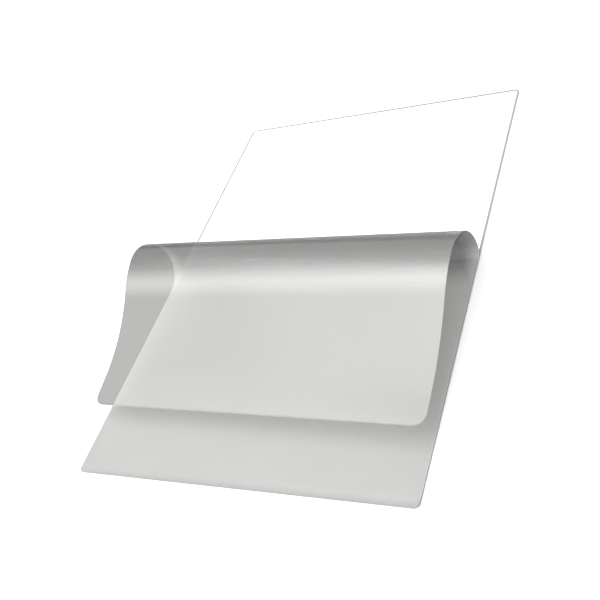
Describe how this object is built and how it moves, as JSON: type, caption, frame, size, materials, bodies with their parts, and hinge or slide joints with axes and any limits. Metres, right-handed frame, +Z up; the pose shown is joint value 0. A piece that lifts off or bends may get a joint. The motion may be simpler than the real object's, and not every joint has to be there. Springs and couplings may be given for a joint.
{
  "type": "laminating pouch",
  "caption": "Open laminating pouch: a clear bottom film lies flat, and the frosted top film, sealed to it along one short edge, is turned back over itself in a loop.",
  "frame": {"origin": "middle of the bottom film's underside, which is the middle of the bounding box's bottom", "axes": "+X across the pouch, +Y along it from the sealed short edge to the open one, +Z up from the surface that it lies on"},
  "size_m": [0.216, 0.303, 0.0439],
  "materials": {
    "clear_film": "clear, glossy polyester film",
    "frosted_film": "frosted grey, satin film that some light passes through"
  },
  "bodies": {
    "root": {"bottom_film": "clear_film", "top_film": "frosted_film"}
  },
  "joints": []
}
